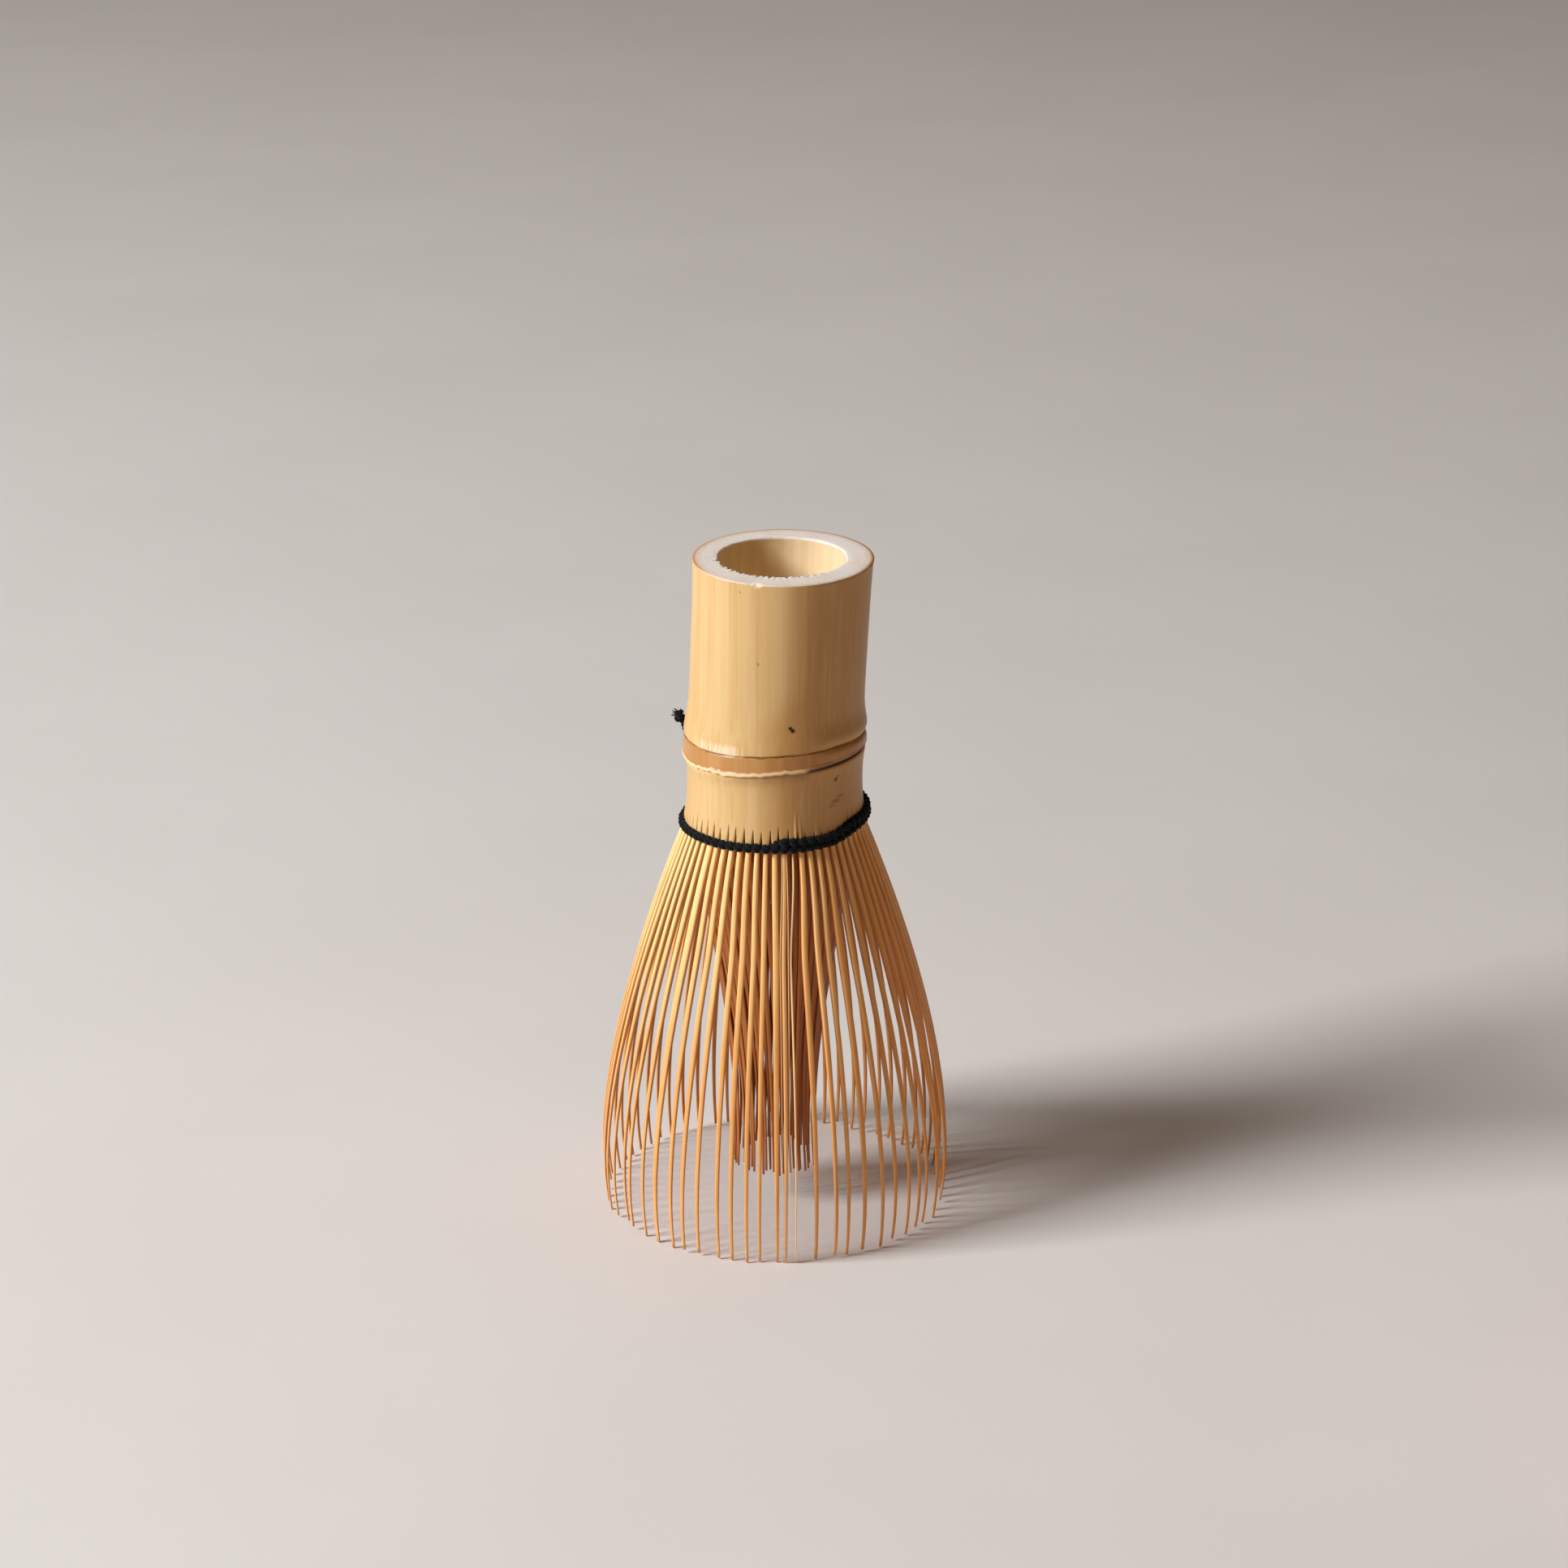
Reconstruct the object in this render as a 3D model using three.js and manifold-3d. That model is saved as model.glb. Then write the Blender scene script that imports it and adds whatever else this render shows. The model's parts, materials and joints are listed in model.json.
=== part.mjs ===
// A bamboo tea whisk standing on the tips of its tines, handle up. Millimetres, +Z up, with the origin on the
// ground under the handle's axis. All of it but the thread is one culm of bamboo: the lower end is split into
// thick outer tines and thin inner ones, and a thread wound in between keeps the two apart.
import * as THREE from "three";
import { mergeVertices } from "three/addons/utils/BufferGeometryUtils.js";
import Module from "manifold-3d";

// Heights above the middle of the thread
const handleRise = 42; // cut end of the culm
const grooveRise = 14.5; // scar line round the node
const slitRise = 4; // where the slits begin
const toothRise = 2.2; // lower end of the bamboo that stays stiff between the slits

// Depths below the middle of the thread
const outerDrop = 63.5; // tips of the outer tines
const innerDrop = 58; // tips of the inner tines

// Handle
const handleRadius = 13.7;
const wallThickness = 3.9;
const skinThickness = 0.95; // outer layer of the wall, which the tines are split from
const septumThickness = 2.6; // the culm's own wall across the node
const nodeBand = 2.7; // smooth band from the scar line down to the raised ridge
const nodeBulge = 0.5;
const ridgeBulge = 0.4;
const grooveDepth = 0.3;
const waistInset = 0.4; // how far the culm narrows under the node
const rimChamfer = 0.25;
const topLean = THREE.MathUtils.degToRad(2.6); // lean to the right above the node
const nodeSlant = 0.05; // rise of the node to the right, per unit of width
const handleSides = 72;

// Tines
const outerGroups = 16; // the culm is first split in sixteen
const tinesPerOuterGroup = 4;
const innerGroups = 16;
const tinesPerInnerGroup = 4;
const outerRoot = { width: 0.8, thickness: 0.9 };
const outerTip = { width: 0.4, thickness: 0.3 };
const innerRoot = { width: 0.5, thickness: 0.5 };
const innerTip = { width: 0.3, thickness: 0.25 };
const outerFlare = THREE.MathUtils.degToRad(21.5); // lean of the outer tines just under the thread
const outerTipRadius = 26.6;
const outerBelly = 2.6; // how far the outer tines bulge past their tips before they curl back in
const innerTipRadius = 6.6;
const innerSwirl = THREE.MathUtils.degToRad(14); // turn of the inner bundle from thread to tips
const linkHeight = 1.4; // the stretch of a group that the thread grips as one piece

// Thread
const strandThickness = 0.65; // radial size of a wound strand
const singleHeight = 0.95; // one turn, on the left
const doubleHeight = 1.9; // two turns, on the right
const threadLift = 1.1; // how much higher the thread lies at the right than all the rest of the way
const threadSides = 36;
const passHeight = 0.5; // where the strand is pulled flat between two groups of tines
const passShare = 0.4; // how much of the space between them it fills there
const tailThickness = 0.7;
const knotRadius = 0.68;

const gap = 0.3; // clearance between neighbouring pieces
const swingGap = 0.65; // clearance outside the tines, which swing outwards

// Heights, radii and angles that follow from those sizes
const ridgeRise = grooveRise - nodeBand;
const waistRadius = handleRadius - waistInset;
const boreRadius = handleRadius - wallThickness;
const toothRadius = waistRadius + 0.1;
const outerFace = waistRadius + 0.35; // outer face of the outer tines inside the thread
const backOuterRadius = outerFace - outerRoot.thickness - gap;
const backInnerRadius = backOuterRadius - 0.45;
const innerFace = backInnerRadius - gap; // outer face of the inner tines inside the thread
const frontInnerRadius = outerFace + swingGap;
const frontOuterRadius = frontInnerRadius + strandThickness;
const outerPitch = (2 * Math.PI) / (outerGroups * tinesPerOuterGroup);
const innerPitch = (2 * Math.PI) / (innerGroups * tinesPerInnerGroup);

const up = new THREE.Vector3(0, 0, 1);
const wasm = await Module();
wasm.setup();

function toSolid(geometry) {
  const bare = geometry.index ? geometry.toNonIndexed() : geometry.clone();
  bare.deleteAttribute("normal");
  bare.deleteAttribute("uv");
  const merged = mergeVertices(bare, 1e-4);
  const mesh = new wasm.Mesh({
    numProp: 3,
    vertProperties: merged.attributes.position.array,
    triVerts: new Uint32Array(merged.index.array),
  });
  return new wasm.Manifold(mesh);
}

function toGeometry(solid) {
  const mesh = solid.getMesh();
  const geometry = new THREE.BufferGeometry();
  geometry.setAttribute("position", new THREE.BufferAttribute(mesh.vertProperties, 3));
  geometry.setIndex(new THREE.BufferAttribute(mesh.triVerts, 1));
  return geometry;
}

function joined(geometries) {
  return geometries.map(toSolid).reduce((whole, piece) => whole.add(piece));
}

// Moves each vertex of a geometry to where change(point) puts it.
function reshape(geometry, change) {
  const position = geometry.attributes.position;
  const point = new THREE.Vector3();
  for (let i = 0; i < position.count; i++) {
    change(point.fromBufferAttribute(position, i));
    position.setXYZ(i, point.x, point.y, point.z);
  }
  return geometry;
}

// A solid of revolution about Z from (radius, height) points.
function turned(points, sides) {
  const geometry = new THREE.LatheGeometry(points, sides);
  return geometry.rotateX(Math.PI / 2);
}

// The outside of the handle from the cut end down, as radius and height.
function handleOutline() {
  const shaft = handleRadius - 0.12;
  return [
    new THREE.Vector2(handleRadius - rimChamfer, handleRise),
    new THREE.Vector2(handleRadius, handleRise - rimChamfer),
    new THREE.Vector2(handleRadius, grooveRise + 9),
    new THREE.Vector2(shaft, grooveRise + 4.5),
    new THREE.Vector2(handleRadius + 0.7 * nodeBulge, grooveRise + 1.6),
    new THREE.Vector2(handleRadius + nodeBulge, grooveRise + 0.5),
    new THREE.Vector2(handleRadius + nodeBulge - grooveDepth, grooveRise),
    new THREE.Vector2(handleRadius + ridgeBulge - 0.05, grooveRise - 0.7),
    new THREE.Vector2(handleRadius + ridgeBulge, ridgeRise),
    new THREE.Vector2(handleRadius, ridgeRise - 1),
    new THREE.Vector2(waistRadius + 0.1, ridgeRise - 3),
    new THREE.Vector2(waistRadius, slitRise + 1),
    new THREE.Vector2(toothRadius, toothRise),
  ];
}

// Radius of the handle's outside at a height.
function skinRadius(rise) {
  const outline = handleOutline();
  const below = outline.findIndex((point) => point.y <= rise);
  if (below < 1) return outline.at(below < 0 ? -1 : 0).x;
  const low = outline[below];
  const high = outline[below - 1];
  return THREE.MathUtils.mapLinear(rise, low.y, high.y, low.x, high.x);
}

// Bamboo grows unevenly: the node slants, and the culm leans above it.
function growth(point) {
  const fromNode = Math.abs(point.z - (grooveRise + ridgeRise) / 2);
  const lean = Math.tan(topLean) * Math.max(point.z - grooveRise, 0);
  point.z += nodeSlant * point.x * (1 - THREE.MathUtils.smoothstep(fromNode, 2, 7));
  point.x += lean;
}

// A wedge that opens downwards, for one slit between two tines.
function slitCutter() {
  const bottom = toothRise - 1;
  const halfWidth = (outerPitch * outerFace - outerRoot.width) / 2;
  const wedge = new THREE.Shape();
  wedge.moveTo(-halfWidth, bottom);
  wedge.lineTo(halfWidth, bottom);
  wedge.lineTo(halfWidth, toothRise);
  wedge.lineTo(0, slitRise);
  wedge.lineTo(-halfWidth, toothRise);
  const depth = 2 * skinThickness + 1;
  const geometry = new THREE.ExtrudeGeometry(wedge, { depth, bevelEnabled: false });
  geometry.rotateX(Math.PI / 2);
  geometry.rotateZ(Math.PI / 2);
  return geometry.translate(waistRadius - 1.5 * skinThickness, 0, 0);
}

// The culm: blind bore above, septum at the node, and the wall that splits into tines below.
function handleSolid() {
  const septumTop = grooveRise + 0.7;
  const septumBottom = septumTop - septumThickness;
  const bore = [
    new THREE.Vector2(0, septumTop - 0.4),
    new THREE.Vector2(boreRadius - 2, septumTop),
    new THREE.Vector2(boreRadius, septumTop + 1.6),
    new THREE.Vector2(boreRadius, handleRise),
  ];
  const undercut = toothRadius - skinThickness; // the soft inside of the wall is broken off above the tines
  const underside = [
    new THREE.Vector2(undercut, toothRise),
    new THREE.Vector2(undercut, slitRise + gap),
    new THREE.Vector2(boreRadius + 0.2, slitRise + 2 * gap),
    new THREE.Vector2(boreRadius + 0.2, septumBottom - 1),
    new THREE.Vector2(boreRadius - 1.5, septumBottom),
    new THREE.Vector2(0, septumBottom + 0.3),
  ];
  const profile = [...bore, ...handleOutline(), ...underside];
  let culm = toSolid(reshape(turned(profile.reverse(), handleSides), growth));
  const cutter = slitCutter();
  for (let i = 0; i < outerGroups * tinesPerOuterGroup; i++) {
    culm = culm.subtract(toSolid(cutter.clone().rotateZ((i + 0.5) * outerPitch)));
  }
  return culm;
}

// One tine in the XZ plane: its outer face follows (radius, height) points from the top down, and it keeps
// its root size down to the thread and tapers from there to its tip.
function tine(face, root, tip) {
  const drop = -face.at(-1).y;
  const share = (height) => THREE.MathUtils.clamp(-height / drop, 0, 1);
  const back = face.map((point, i) => {
    const along = face[Math.min(i + 1, face.length - 1)].clone().sub(face[Math.max(i - 1, 0)]);
    const inward = new THREE.Vector2(along.y, -along.x).normalize();
    const thickness = THREE.MathUtils.lerp(root.thickness, tip.thickness, Math.sqrt(share(point.y)));
    return point.clone().addScaledVector(inward, thickness);
  });
  const side = new THREE.Shape([...face, ...back.reverse()]);
  const geometry = new THREE.ExtrudeGeometry(side, { depth: 1, bevelEnabled: false });
  geometry.translate(0, 0, -0.5);
  geometry.rotateX(Math.PI / 2);
  return reshape(geometry, (point) => {
    point.y *= THREE.MathUtils.lerp(root.width, tip.width, share(point.z));
  });
}

// Copies of one tine side by side, tied behind the thread by a short link between each two neighbours.
function group(blank, count, pitch, linkInnerRadius, linkThickness) {
  const middle = (count - 1) / 2;
  const tines = Array.from({ length: count }, (_, i) => blank.clone().rotateZ((i - middle) * pitch));
  const linkRadius = linkInnerRadius + linkThickness / 2;
  const link = new THREE.BoxGeometry(linkThickness, linkRadius * pitch, linkHeight);
  link.translate(linkRadius, 0, 0);
  const links = Array.from({ length: count - 1 }, (_, i) => link.clone().rotateZ((i + 0.5 - middle) * pitch));
  return joined([...tines, ...links]);
}

function outerGroup() {
  const start = new THREE.Vector2(outerFace + 0.15, -0.9);
  const end = new THREE.Vector2(outerTipRadius, -outerDrop);
  const reach = 0.4 * outerDrop;
  const bend = new THREE.CubicBezierCurve(
    start,
    new THREE.Vector2(start.x + reach * Math.tan(outerFlare), start.y - reach),
    new THREE.Vector2(end.x + outerBelly, end.y + 0.22 * outerDrop),
    end,
  );
  const top = new THREE.Vector2(outerFace - 0.1, toothRise - gap);
  const face = [top, new THREE.Vector2(outerFace, 0), ...bend.getPoints(7)];
  const blank = tine(face, outerRoot, outerTip);
  return group(blank, tinesPerOuterGroup, outerPitch, outerFace - 0.75, 0.35);
}

// An inner group's tines lean in from the thread and turn a little about the whisk's axis on the way down.
function innerGroup() {
  const start = new THREE.Vector2(innerFace, -0.9);
  const bend = new THREE.CubicBezierCurve(
    start,
    new THREE.Vector2(innerFace - 0.5, -0.3 * innerDrop),
    new THREE.Vector2(innerTipRadius - 1.2, -0.6 * innerDrop),
    new THREE.Vector2(innerTipRadius, -innerDrop),
  );
  const top = new THREE.Vector2(innerFace + 0.2, slitRise - gap);
  const face = [top, new THREE.Vector2(innerFace, 0), ...bend.getPoints(4)];
  const blank = tine(face, innerRoot, innerTip);
  const solid = group(blank, tinesPerInnerGroup, innerPitch, innerFace - 0.4, 0.25);
  const swirled = reshape(toGeometry(solid), (point) => {
    const share = Math.max(-point.z - linkHeight, 0) / innerDrop;
    point.applyAxisAngle(up, innerSwirl * share);
  });
  return toSolid(swirled);
}

// How far the thread is lifted where it turns round the right side.
function threadRise(point) {
  return threadLift * THREE.MathUtils.smoothstep(point.x, 0.6 * handleRadius, 0.9 * handleRadius);
}

// A ring of wound thread: a round-cornered section whose height grows from the left to the right.
function windings(innerRadius, outerRadius, heightAt) {
  const corner = (outerRadius - innerRadius) / 3;
  const section = [
    new THREE.Vector2(innerRadius, -0.5),
    new THREE.Vector2(outerRadius - corner, -0.5),
    new THREE.Vector2(outerRadius, 0),
    new THREE.Vector2(outerRadius - corner, 0.5),
    new THREE.Vector2(innerRadius, 0.5),
    new THREE.Vector2(innerRadius, -0.5),
  ];
  return reshape(turned(section, threadSides), (point) => {
    point.z = point.z * heightAt(point) + threadRise(point);
  });
}

// The thread's loose end: it leaves the winding at the back left, runs up over the node and ends in a knot.
function tail() {
  const route = [
    { azimuth: 149, rise: -0.4 },
    { azimuth: 150, rise: 2 },
    { azimuth: 151, rise: 5 },
    { azimuth: 153, rise: 8.5 },
    { azimuth: 157, rise: ridgeRise },
    { azimuth: 161, rise: grooveRise },
    { azimuth: 164, rise: grooveRise + 1 },
  ];
  const points = route.map(({ azimuth, rise }) => {
    const onThread = rise < slitRise - 1;
    const heights = [rise - tailThickness, rise, rise + tailThickness];
    const skin = Math.max(...heights.map(skinRadius));
    const radius = onThread ? frontOuterRadius - 0.15 : skin + gap + tailThickness / 2;
    return new THREE.Vector3(radius, 0, rise).applyAxisAngle(up, THREE.MathUtils.degToRad(azimuth));
  });
  const section = new THREE.Shape();
  section.absarc(0, 0, tailThickness / 2, 0, 2 * Math.PI, false);
  const strand = new THREE.ExtrudeGeometry(section, {
    steps: 12,
    curveSegments: 3,
    extrudePath: new THREE.CatmullRomCurve3(points),
  });
  const knot = new THREE.IcosahedronGeometry(knotRadius, 1).translate(...points.at(-1));
  return [reshape(strand, growth), reshape(knot, growth)];
}

function threadSolid() {
  const front = windings(frontInnerRadius, frontOuterRadius, (point) => {
    const share = THREE.MathUtils.smoothstep(point.x, -2, 8);
    return THREE.MathUtils.lerp(singleHeight, doubleHeight, share);
  });
  const back = windings(backInnerRadius, backOuterRadius, () => singleHeight);
  const length = frontInnerRadius - backInnerRadius;
  const passWidth = passShare * ((outerFace - outerRoot.thickness) * outerPitch - outerRoot.width);
  const pass = new THREE.BoxGeometry(length, passWidth, passHeight);
  pass.translate((frontInnerRadius + backInnerRadius) / 2 + 0.1, 0, 0);
  const passes = Array.from({ length: outerGroups }, (_, i) => {
    const copy = pass.clone().rotateZ(((i + 0.5) * 2 * Math.PI) / outerGroups + outerPitch / 2);
    return reshape(copy, (point) => {
      point.z += threadRise(point);
    });
  });
  return joined([front, back, ...passes, ...tail()]);
}

const bamboo = { roughness: 0.42, metalness: 0 };
const whisk = new THREE.Group();
whisk.position.z = outerDrop;

function place(name, geometry, look, turn = 0) {
  const mesh = new THREE.Mesh(geometry, new THREE.MeshStandardMaterial(look));
  mesh.name = name;
  mesh.rotation.z = turn;
  whisk.add(mesh);
}

function placeRing(name, solid, count, look, firstTurn = 0) {
  const geometry = toGeometry(solid);
  for (let i = 0; i < count; i++) {
    const number = String(i + 1).padStart(2, "0");
    place(`${name}_${number}`, geometry, look, firstTurn + (i * 2 * Math.PI) / count);
  }
}

place("handle_culm", toGeometry(handleSolid()), { ...bamboo, color: 0xd9b377 });
placeRing("outer_tines", outerGroup(), outerGroups, { ...bamboo, color: 0xe3b878 }, outerPitch / 2);
placeRing("inner_tines", innerGroup(), innerGroups, { ...bamboo, color: 0xb9783c });
place("binding_thread", toGeometry(threadSolid()), { color: 0x14110f, roughness: 0.9, metalness: 0 });

const part = new THREE.Group();
part.add(whisk);

export default part;
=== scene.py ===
import json
import math
import bpy
import numpy as np
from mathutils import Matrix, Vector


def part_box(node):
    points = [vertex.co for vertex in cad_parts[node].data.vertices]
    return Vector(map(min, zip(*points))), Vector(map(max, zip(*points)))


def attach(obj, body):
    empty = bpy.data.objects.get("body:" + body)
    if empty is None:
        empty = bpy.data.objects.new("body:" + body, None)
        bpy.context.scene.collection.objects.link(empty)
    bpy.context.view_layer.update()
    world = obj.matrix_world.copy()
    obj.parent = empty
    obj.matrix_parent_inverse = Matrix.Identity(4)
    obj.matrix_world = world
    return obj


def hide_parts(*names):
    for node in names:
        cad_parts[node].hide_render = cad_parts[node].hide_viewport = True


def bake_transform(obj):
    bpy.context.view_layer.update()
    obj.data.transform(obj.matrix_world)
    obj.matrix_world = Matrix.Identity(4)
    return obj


# A bamboo tea whisk standing on its tines. The shapes are worked out in millimetres and put into the scene in
# metres. "rise" is a height above the middle of the binding thread, "turn" an angle round the whisk, 0 at the
# front and growing towards the right.

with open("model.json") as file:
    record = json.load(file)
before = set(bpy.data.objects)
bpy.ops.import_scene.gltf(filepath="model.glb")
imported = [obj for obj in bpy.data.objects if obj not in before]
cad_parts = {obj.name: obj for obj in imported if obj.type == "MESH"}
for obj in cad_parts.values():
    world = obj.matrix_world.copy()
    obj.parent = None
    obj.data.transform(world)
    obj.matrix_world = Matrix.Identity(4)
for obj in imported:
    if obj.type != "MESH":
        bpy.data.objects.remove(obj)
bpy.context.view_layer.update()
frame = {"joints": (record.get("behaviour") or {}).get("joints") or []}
mm = 0.001
threadHeight = frame["joints"][0]["pos_m"][2] / mm
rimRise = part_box("handle_culm")[1].z / mm - threadHeight
print("frame loaded, thread at", round(threadHeight, 2), "mm")


# shader helpers

def paint(red, green, blue):
    # a colour as painters' tables give it, 0 to 255, as the shader wants it
    channels = [value / 255 for value in (red, green, blue)]
    linear = [c / 12.92 if c < 0.04045 else ((c + 0.055) / 1.055) ** 2.4 for c in channels]
    return (*linear, 1.0)


class Wire:
    # a socket that can be reckoned with; each operator adds a Math node
    def __init__(self, look, socket):
        self.look = look
        self.socket = socket

    def math(self, operation, first, second=0.0):
        return self.look.add("ShaderNodeMath", {"operation": operation}, {0: first, 1: second})

    def __add__(self, other):
        return self.math("ADD", self, other)

    def __sub__(self, other):
        return self.math("SUBTRACT", self, other)

    def __rsub__(self, other):
        return self.math("SUBTRACT", other, self)

    def __mul__(self, other):
        return self.math("MULTIPLY", self, other)

    def __abs__(self):
        return self.math("ABSOLUTE", self)

    __radd__ = __add__
    __rmul__ = __mul__

    def above(self, low, high):
        # 0 up to low, 1 from high on, and a soft step between; the other way round where low is the larger
        settings = {"interpolation_type": "SMOOTHSTEP"}
        return self.look.add("ShaderNodeMapRange", settings, {0: self, 1: low, 2: high})


class Look:
    # one material, built from nodes round a Principled shader
    def __init__(self, name):
        self.material = bpy.data.materials.new(name)
        self.material.use_nodes = True
        self.tree = self.material.node_tree
        self.shader = self.tree.nodes["Principled BSDF"]

    def add(self, kind, settings, sockets, result=0):
        node = self.tree.nodes.new(kind)
        for key, value in settings.items():
            setattr(node, key, value)
        self.connect(node, sockets)
        return Wire(self, node.outputs[result])

    def connect(self, node, sockets):
        for key, value in sockets.items():
            if isinstance(value, Wire):
                self.tree.links.new(value.socket, node.inputs[key])
            else:
                node.inputs[key].default_value = value

    def finish(self, sockets):
        self.connect(self.shader, sockets)
        return self.material

    def place(self):
        return self.add("ShaderNodeTexCoord", {}, {}, result="Object")

    def noted(self, name):
        return self.add("ShaderNodeAttribute", {"attribute_name": name}, {}, result="Vector")

    def distance(self, vector, point, factors):
        # how far a place is from a point, with each axis stretched by its factor
        offset = self.add("ShaderNodeVectorMath", {"operation": "SUBTRACT"}, {0: vector, 1: point})
        stretched = self.scaled(offset, factors)
        return self.add("ShaderNodeVectorMath", {"operation": "LENGTH"}, {0: stretched}, result="Value")

    def scaled(self, vector, factors):
        return self.add("ShaderNodeVectorMath", {"operation": "MULTIPLY"}, {0: vector, 1: factors})

    def split(self, vector):
        return [self.add("ShaderNodeSeparateXYZ", {}, {0: vector}, result=axis) for axis in range(3)]

    def noise(self, vector, factors, detail=2.0, rough=0.5):
        scaled = self.scaled(vector, factors)
        sockets = {"Vector": scaled, "Scale": 1.0, "Detail": detail, "Roughness": rough}
        return self.add("ShaderNodeTexNoise", {}, sockets)

    def dots(self, vector, factors):
        # distance to the nearest of many scattered points, in cells
        sockets = {"Vector": self.scaled(vector, factors), "Scale": 1.0}
        return self.add("ShaderNodeTexVoronoi", {}, sockets)

    def near(self, vector, point, radii):
        # 1 at a point of the surface, falling to 0 at the given radii, in millimetres
        factors = tuple(1 / (radius * mm) for radius in radii)
        return self.distance(vector, point, factors).above(1.0, 0.35)

    def mix(self, mask, first, second):
        return self.add("ShaderNodeMix", {"data_type": "RGBA"}, {0: mask, 6: first, 7: second}, result=2)

    def bump(self, height, depth, strength):
        sockets = {"Height": height, "Distance": depth * mm, "Strength": strength}
        return self.add("ShaderNodeBump", {}, sockets)


# mesh helpers

def soft(value, low, high):
    share = np.clip((np.asarray(value, float) - low) / (high - low), 0, 1)
    return share * share * (3 - 2 * share)


def bell(value, width):
    return np.exp(-(np.asarray(value, float) / width) ** 2)


def waves(turn, seed, slowest, fastest):
    # an uneven line from about -1 to 1 that closes on itself round the culm
    dice = np.random.default_rng(seed)
    counts = np.arange(slowest, fastest + 1)
    swings = np.sin(np.multiply.outer(turn, counts) + dice.uniform(0, 2 * np.pi, len(counts)))
    return swings @ dice.uniform(0.5, 1, len(counts)) / (0.8 * math.sqrt(len(counts)))


def steps(*stops):
    # levels from stop to stop; each stop but the last gives how many steps lead to the next
    spans = [np.linspace(a[0], b[0], a[1], endpoint=False) for a, b in zip(stops, stops[1:])]
    return np.concatenate([*spans, [stops[-1][0]]])


def around(turn, radius, rise):
    return np.stack([radius * np.sin(turn), -radius * np.cos(turn), rise + 0 * turn], axis=-1)


def makePiece(name, points, faces, looks, faceLooks=None):
    mesh = bpy.data.meshes.new(name)
    placed = (np.asarray(points) + (0, 0, threadHeight)) * mm
    mesh.from_pydata(placed.tolist(), [], faces)
    for look in looks:
        mesh.materials.append(look)
    if faceLooks is not None:
        mesh.polygons.foreach_set("material_index", np.asarray(faceLooks, np.int32))
    mesh.polygons.foreach_set("use_smooth", np.ones(len(faces), bool))
    piece = bpy.data.objects.new(name, mesh)
    bpy.context.scene.collection.objects.link(piece)
    return piece


def note(piece, name, values):
    # something the finish needs to know at each vertex
    values = np.asarray(values, np.float32)
    kind, field = ("FLOAT", "value") if values.ndim == 1 else ("FLOAT_VECTOR", "vector")
    piece.data.attributes.new(name, kind, "POINT").data.foreach_set(field, values.ravel())


def stitch(rings, looks):
    # faces between neighbouring rings, whose numbers of points may differ by a whole ratio, and both end caps
    counts = [len(ring) for ring in rings]
    starts = np.cumsum([0] + counts)
    faces, faceLooks = [list(range(counts[0]))], [looks[0]]
    for i, look in enumerate(looks):
        few = min(counts[i], counts[i + 1])
        for column in range(few):
            over, under = [
                [int(starts[k] + (column * ratio + step) % counts[k]) for step in range(ratio + 1)]
                for k, ratio in ((i, counts[i] // few), (i + 1, counts[i + 1] // few))
            ]
            faces.append(over[::-1] + under)
            faceLooks.append(look)
    faces.append([int(starts[-2] + k) for k in reversed(range(counts[-1]))])
    faceLooks.append(looks[-1])
    return faces, faceLooks


def tubeFaces(count, sides, first):
    faces = []
    for i in range(count - 1):
        for j in range(sides):
            a, b = first + i * sides + j, first + i * sides + (j + 1) % sides
            faces.append((b, a, a + sides, b + sides))
    faces.append([first + j for j in range(sides)])
    faces.append([first + (count - 1) * sides + j for j in reversed(range(sides))])
    return faces


def curveThrough(points, count):
    # a Catmull-Rom curve through the points
    p = np.asarray(points, float)
    p = np.concatenate([[2 * p[0] - p[1]], p, [2 * p[-1] - p[-2]]])
    at = np.linspace(0, len(points) - 1, count)
    i = np.minimum(at.astype(int), len(points) - 2)
    t = (at - i)[:, None]
    a, b, c, d = (p[i + k] for k in range(4))
    return 0.5 * (2 * b + (c - a) * t + (2 * a - 5 * b + 4 * c - d) * t**2 + (3 * b - a - 3 * c + d) * t**3)


def roundTube(centres, radii, sides):
    # points of a tube along a line, its section carried along without twisting
    ahead = np.gradient(centres, axis=0)
    ahead /= np.linalg.norm(ahead, axis=1, keepdims=True)
    side = np.cross(ahead[0], (0.3, 0.2, 1.0))
    angles = np.arange(sides) * 2 * np.pi / sides
    rows = []
    for centre, way, radius in zip(centres, ahead, np.broadcast_to(radii, len(centres))):
        side = side - way * side.dot(way)
        side /= np.linalg.norm(side)
        other = np.cross(way, side)
        rows.append(centre + radius * (np.outer(np.cos(angles), side) - np.outer(np.sin(angles), other)))
    return np.concatenate(rows)


# camera, light and floor

def aim(thing, target):
    way = np.asarray(target, float) - np.asarray(thing.location)
    thing.rotation_euler = (math.atan2(math.hypot(way[0], way[1]), -way[2]), 0, math.atan2(-way[0], way[1]))


def makeCamera():
    view = {"location": (0.0014, -0.6276, 0.2973), "target": (0.0014, 0.0, 0.0689), "opening": 20.53}
    camera = bpy.data.objects.new("camera", bpy.data.cameras.new("camera"))
    camera.location = view["location"]
    camera.data.angle = math.radians(view["opening"])
    camera.data.clip_start = 0.01
    aim(camera, view["target"])
    bpy.context.scene.collection.objects.link(camera)
    bpy.context.scene.camera = camera


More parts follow.
